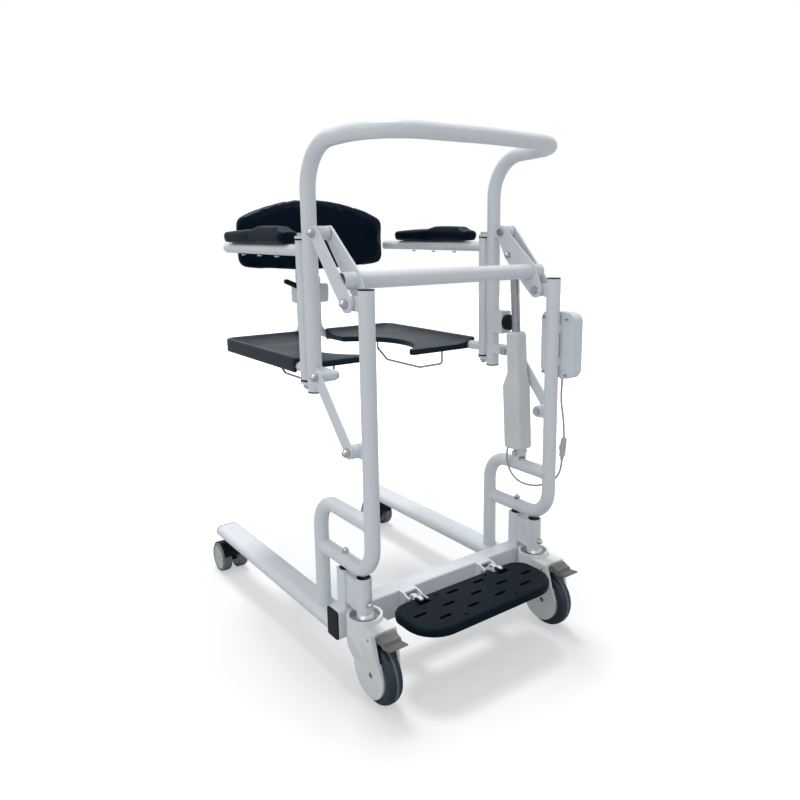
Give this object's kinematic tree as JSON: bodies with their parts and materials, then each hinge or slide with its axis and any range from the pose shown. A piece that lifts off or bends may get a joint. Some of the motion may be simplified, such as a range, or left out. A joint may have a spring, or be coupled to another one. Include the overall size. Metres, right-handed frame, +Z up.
{
  "type": "sit to stand lift",
  "caption": "Wheeled patient transfer lift: split swing-away seat and arms on a push-bar frame raised by parallel links and an actuator, with footplate and braked casters.",
  "frame": {"origin": "on the floor, in the middle of the whole lift, seen from above", "axes": "+Z up; -Y is the front, with the footplate and the braked casters; +X is the side with the actuator and the control box"},
  "size_m": [0.5674, 0.856, 1.0761],
  "materials": {
    "white_frame": "gloss powder coat",
    "black_plastic": "moulded",
    "steel": "bright zinc plated",
    "dark_steel": "passivated",
    "fork_white": "moulded",
    "tyre_grey": "smooth",
    "hub_grey": "moulded",
    "pedal_grey": "moulded",
    "seat_grey": "satin moulded",
    "pad_black": "skinned foam",
    "wire": "plated wire",
    "actuator_grey": "moulded",
    "box_white": "moulded",
    "lead_grey": "sheath",
    "plug_grey": "moulded",
    "foot_black": "moulded",
    "bush": "acetal"
  },
  "bodies": {
    "base": {"left_leg": "white_frame", "right_leg": "white_frame", "crossbeam": "white_frame", "black_plugs": "black_plastic", "left_mast": "white_frame", "right_mast": "white_frame", "left_rear_post": "white_frame", "right_rear_post": "white_frame", "left_caster_post": "white_frame", "right_caster_post": "white_frame", "frame_bolts": "steel", "actuator_bracket": "white_frame", "control_box": "box_white", "lead": "lead_grey", "lead_connector": "plug_grey", "caster_stems": "steel"},
    "up_key": {"up_button": "black_plastic"},
    "down_key": {"down_button": "black_plastic"},
    "foot_rest": {"footplate": "foot_black", "footplate_hinges": "steel"},
    "upper_links": {"left_link": "white_frame", "right_link": "white_frame", "cross_tube": "white_frame", "link_bolts": "steel", "link_bushes": "bush"},
    "low_links": {"lower_links": "white_frame", "lower_link_bolts": "steel"},
    "carriage": {"lift_frame": "white_frame", "upright_plugs": "black_plastic", "hinge_bolts": "steel", "hinge_washers": "bush"},
    "left_half": {"left_seat_frame": "white_frame", "left_seat": "seat_grey", "left_arm_pad": "pad_black", "backrest": "pad_black", "left_latch": "white_frame", "left_bedpan_rail": "wire"},
    "right_half": {"right_seat_frame": "white_frame", "right_seat": "seat_grey", "right_arm_pad": "pad_black", "right_latch": "white_frame", "right_bedpan_rail": "wire"},
    "lever": {"latch_lever": "black_plastic"},
    "drive": {"actuator_body": "actuator_grey"},
    "rod": {"actuator_rod": "dark_steel"},
    "left_front_caster": {"left_front_fork": "fork_white", "left_front_pins": "dark_steel"},
    "left_front_roll": {"left_front_wheel": "tyre_grey"},
    "left_pedal": {"left_brake_pedal": "pedal_grey"},
    "left_rear_caster": {"left_rear_fork": "black_plastic", "left_rear_axle": "steel"},
    "left_rear_roll": {"left_rear_wheels": "hub_grey"},
    "right_front_caster": {"right_front_fork": "fork_white", "right_front_pins": "dark_steel"},
    "right_front_roll": {"right_front_wheel": "tyre_grey"},
    "right_pedal": {"right_brake_pedal": "pedal_grey"},
    "right_rear_caster": {"right_rear_fork": "black_plastic", "right_rear_axle": "steel"},
    "right_rear_roll": {"right_rear_wheels": "hub_grey"}
  },
  "joints": [
    {"name": "lift", "type": "hinge", "parent": "base", "child": "upper_links", "pos_m": [0.22875, -0.292, 0.767], "axis": [1, 0, 0], "range_deg": [-83.2, 0]},
    {"name": "low_link_turn", "type": "hinge", "parent": "base", "child": "low_links", "pos_m": [0.22875, -0.3, 0.497], "axis": [1, 0, 0], "range_deg": [-83.2, 0]},
    {"name": "carriage_level", "type": "hinge", "parent": "upper_links", "child": "carriage", "pos_m": [0.22875, -0.182, 0.89], "axis": [1, 0, 0], "range_deg": [0, 83.2]},
    {"name": "drive_tilt", "type": "hinge", "parent": "base", "child": "drive", "pos_m": [0.22775, -0.235, 0.385], "axis": [1, 0, 0], "range_deg": [-1.5, 0]},
    {"name": "rod_stroke", "type": "slide", "parent": "drive", "child": "rod", "axis": [0, 0.0592, 0.9982], "range_m": [-0.1485, 0]},
    {"name": "left_half_swing", "type": "hinge", "parent": "carriage", "child": "left_half", "pos_m": [-0.24525, -0.103, 0.738], "axis": [0, 0, 1], "range_deg": [0, 100]},
    {"name": "right_half_swing", "type": "hinge", "parent": "carriage", "child": "right_half", "pos_m": [0.23075, -0.103, 0.738], "axis": [0, 0, 1], "range_deg": [-100, 0]},
    {"name": "lever_turn", "type": "hinge", "parent": "left_half", "child": "lever", "pos_m": [-0.04325, 0.3085, 0.752], "axis": [0, 1, 0], "range_deg": [0, 35], "stiffness_Nm_per_rad": 0.12, "springref_deg": -11.46},
    {"name": "footplate_fold", "type": "hinge", "parent": "base", "child": "foot_rest", "pos_m": [-0.00725, -0.278, 0.146], "axis": [-1, 0, 0], "range_deg": [0, 90]},
    {"name": "up_press", "type": "slide", "parent": "base", "child": "up_key", "axis": [-1, 0, 0], "range_m": [0, 0.002], "stiffness_N_per_m": 300, "springref_m": -0.001},
    {"name": "down_press", "type": "slide", "parent": "base", "child": "down_key", "axis": [-1, 0, 0], "range_m": [0, 0.002], "stiffness_N_per_m": 300, "springref_m": -0.001},
    {"name": "left_front_swivel", "type": "hinge", "parent": "base", "child": "left_front_caster", "pos_m": [-0.23925, -0.29, 0.15], "axis": [0, 0, 1], "range_deg": [-95, 18]},
    {"name": "left_front_wheel_turn", "type": "hinge", "parent": "left_front_caster", "child": "left_front_roll", "pos_m": [-0.23925, -0.34, 0.0625], "axis": [1, 0, 0], "continuous": true},
    {"name": "left_pedal_press", "type": "hinge", "parent": "left_front_caster", "child": "left_pedal", "pos_m": [-0.23925, -0.3455, 0.141], "axis": [1, 0, 0], "range_deg": [0, 12]},
    {"name": "left_rear_swivel", "type": "hinge", "parent": "base", "child": "left_rear_caster", "pos_m": [-0.24225, 0.37, 0.09], "axis": [0, 0, 1], "continuous": true},
    {"name": "left_rear_wheel_turn", "type": "hinge", "parent": "left_rear_caster", "child": "left_rear_roll", "pos_m": [-0.24225, 0.39, 0.038], "axis": [1, 0, 0], "continuous": true},
    {"name": "right_front_swivel", "type": "hinge", "parent": "base", "child": "right_front_caster", "pos_m": [0.22475, -0.29, 0.15], "axis": [0, 0, 1], "range_deg": [-18, 95]},
    {"name": "right_front_wheel_turn", "type": "hinge", "parent": "right_front_caster", "child": "right_front_roll", "pos_m": [0.22475, -0.34, 0.0625], "axis": [1, 0, 0], "continuous": true},
    {"name": "right_pedal_press", "type": "hinge", "parent": "right_front_caster", "child": "right_pedal", "pos_m": [0.22475, -0.3455, 0.141], "axis": [1, 0, 0], "range_deg": [0, 12]},
    {"name": "right_rear_swivel", "type": "hinge", "parent": "base", "child": "right_rear_caster", "pos_m": [0.22775, 0.37, 0.09], "axis": [0, 0, 1], "continuous": true},
    {"name": "right_rear_wheel_turn", "type": "hinge", "parent": "right_rear_caster", "child": "right_rear_roll", "pos_m": [0.22775, 0.39, 0.038], "axis": [1, 0, 0], "continuous": true}
  ],
  "couplings": [
    {"joint": "low_link_turn", "follows": "lift", "ratio": 1},
    {"joint": "carriage_level", "follows": "lift", "ratio": -1},
    {"joint": "drive_tilt", "follows": "lift", "ratio": 0.01606},
    {"joint": "rod_stroke", "follows": "lift", "m_per_rad": 0.10159}
  ]
}
